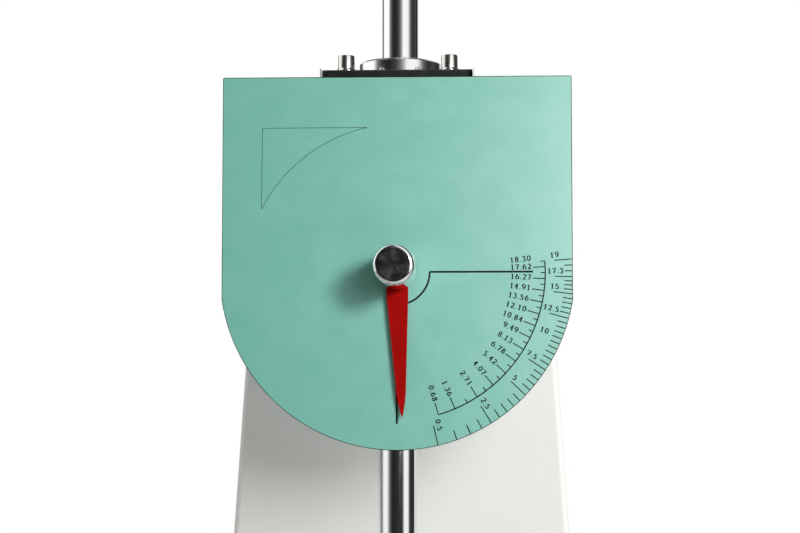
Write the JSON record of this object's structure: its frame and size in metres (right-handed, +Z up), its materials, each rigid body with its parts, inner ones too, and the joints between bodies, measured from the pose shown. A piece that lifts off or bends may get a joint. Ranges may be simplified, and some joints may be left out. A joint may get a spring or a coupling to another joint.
{
  "type": "pendulum heel impact tester",
  "caption": "Pendulum impact tester for shoe heels: tapered column on a footed base, teal energy dial, red pointer, chrome pendulum and a rising heel vice.",
  "frame": {"origin": "on the floor, under the centre of the base plate", "axes": "+X right as seen from the dial, +Y towards the back, +Z up"},
  "size_m": [0.6, 0.46, 1.0895],
  "materials": {
    "base_paint": "satin hammered grey-black paint on thick steel plate",
    "rubber": "moulded black rubber, matte",
    "zinc_steel": "bright zinc-plated steel",
    "column_paint": "pale off-white powder coat",
    "black_plate": "black oxide steel, satin",
    "bright_screw": "bright nickel plating",
    "chrome": "mirror hard chrome",
    "eye_steel": "drop-forged steel, zinc plated",
    "dial_teal": "thin aluminium plate printed matte teal",
    "machined_steel": "ground and turned steel",
    "grey_casting": "painted grey iron casting",
    "bearing_steel": "ground bearing steel",
    "hardened_steel": "hardened and ground tool steel",
    "pointer_red": "deep red gloss paint on sheet metal",
    "brass": "turned brass",
    "ring_steel": "turned steel with satin finish"
  },
  "bodies": {
    "stand": {"base_plate": "base_paint", "foot_pads": "rubber", "foot_studs": "zinc_steel", "foot_nuts": "zinc_steel", "column_shell": "column_paint", "column_end_plates": "column_paint", "column_bolts": "zinc_steel", "back_cover": "column_paint", "back_cover_screws": "zinc_steel", "head_bracket": "column_paint", "head_bracket_screws": "zinc_steel", "top_plate": "black_plate", "top_plate_washers": "bright_screw", "top_plate_screws": "bright_screw", "post_collar": "chrome", "collar_screws": "zinc_steel", "lifting_post": "chrome", "lifting_eye": "eye_steel", "dial_plate": "dial_teal", "dial_studs": "zinc_steel", "dial_nuts": "zinc_steel", "bearing_backing": "machined_steel", "bearing_housing": "grey_casting", "bearing_cover": "grey_casting", "housing_screws": "zinc_steel", "front_bearing_outer": "bearing_steel", "rear_bearing_outer": "bearing_steel", "front_bearing_balls": "bearing_steel", "rear_bearing_balls": "bearing_steel", "vice_pedestal": "grey_casting", "pedestal_screws": "zinc_steel"},
    "pendulum": {"pendulum_shaft": "machined_steel", "hub_key": "machined_steel", "pendulum_hub": "machined_steel", "rod_set_screws": "machined_steel", "pendulum_rod": "chrome", "hammer": "machined_steel", "striker": "hardened_steel", "striker_screw": "machined_steel", "knob": "chrome", "knob_set_screw": "machined_steel", "wave_washer": "machined_steel", "front_spacer": "machined_steel", "middle_spacer": "machined_steel", "front_bearing_inner": "bearing_steel", "rear_bearing_inner": "bearing_steel", "shaft_lock_nut": "machined_steel"},
    "pointer": {"pointer_blade": "pointer_red", "pointer_bush": "brass"},
    "ring_nut": {"elevating_ring": "ring_steel"},
    "vice_table": {"lift_screw": "machined_steel", "guide_pins": "machined_steel", "vice_bed": "grey_casting", "fixed_jaw_plate": "hardened_steel", "fixed_jaw_screws": "machined_steel"},
    "jaw": {"moving_jaw": "grey_casting", "moving_jaw_plate": "hardened_steel", "moving_jaw_screws": "machined_steel"},
    "vice_spindle": {"vice_screw": "machined_steel", "handwheel": "ring_steel"}
  },
  "joints": [
    {"name": "pendulum_swing", "type": "hinge", "parent": "stand", "child": "pendulum", "pos_m": [0, -0.096, 0.7], "axis": [0, -1, 0], "range_deg": [-96, 96]},
    {"name": "pointer_sweep", "type": "hinge", "parent": "stand", "child": "pointer", "pos_m": [0, -0.127, 0.7], "axis": [0, -1, 0], "range_deg": [-2.2, 92]},
    {"name": "ring_turn", "type": "hinge", "parent": "stand", "child": "ring_nut", "pos_m": [-0.055, -0.096, 0.0933], "axis": [0, 0, 1], "range_deg": [0, 1799]},
    {"name": "table_lift", "type": "slide", "parent": "stand", "child": "vice_table", "axis": [0, 0, 1], "range_m": [0, 0.025]},
    {"name": "jaw_slide", "type": "slide", "parent": "vice_table", "child": "jaw", "axis": [1, 0, 0], "range_m": [-0.05, 0.025]},
    {"name": "spindle_turn", "type": "hinge", "parent": "jaw", "child": "vice_spindle", "pos_m": [0, -0.096, 0.1473], "axis": [1, 0, 0], "range_deg": [-4499, 2249]}
  ],
  "couplings": [
    {"joint": "table_lift", "follows": "ring_turn", "m_per_rad": 0.00079577},
    {"joint": "jaw_slide", "follows": "spindle_turn", "m_per_rad": 0.00063662}
  ]
}
